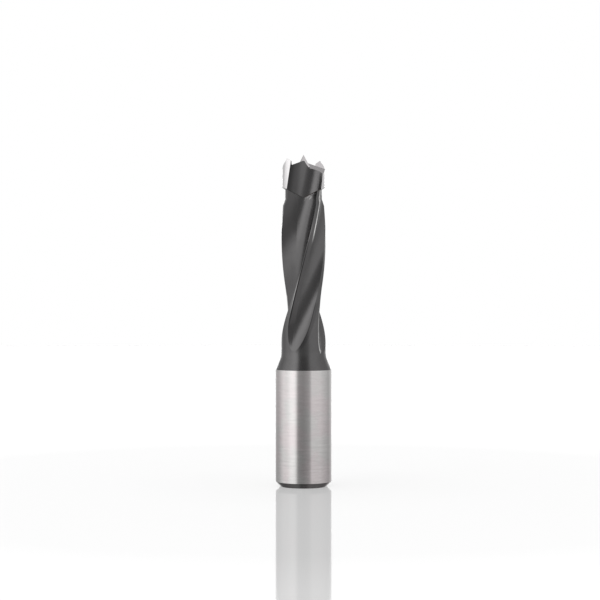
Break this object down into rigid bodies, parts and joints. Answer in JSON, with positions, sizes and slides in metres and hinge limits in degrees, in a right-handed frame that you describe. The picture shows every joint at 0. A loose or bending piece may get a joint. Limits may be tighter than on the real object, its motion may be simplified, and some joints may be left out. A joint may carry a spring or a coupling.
{
  "type": "dowel drill bit",
  "caption": "Machine dowel drill bit: plain cylindrical shank, cone, steel body with helical flutes and a brazed carbide head with lips, spurs and a centre point.",
  "frame": {"origin": "centre of the shank's end face, on the bit's axis", "axes": "+Z along the axis from the shank to the centre point; +Y points out of the clamping flat; +X completes the right-handed set"},
  "size_m": [0.01, 0.01, 0.0595],
  "materials": {
    "steel_body": "bright ground shank, black semi-gloss coat on the cone, the fluted body and the flutes",
    "carbide_head": "ground tungsten carbide, bright on the cutting faces and black in the flutes",
    "braze_joint": "dull silver solder, darkened by heat"
  },
  "bodies": {
    "root": {"steel_body": "steel_body", "carbide_head": "carbide_head", "braze_joint": "braze_joint"}
  },
  "joints": []
}
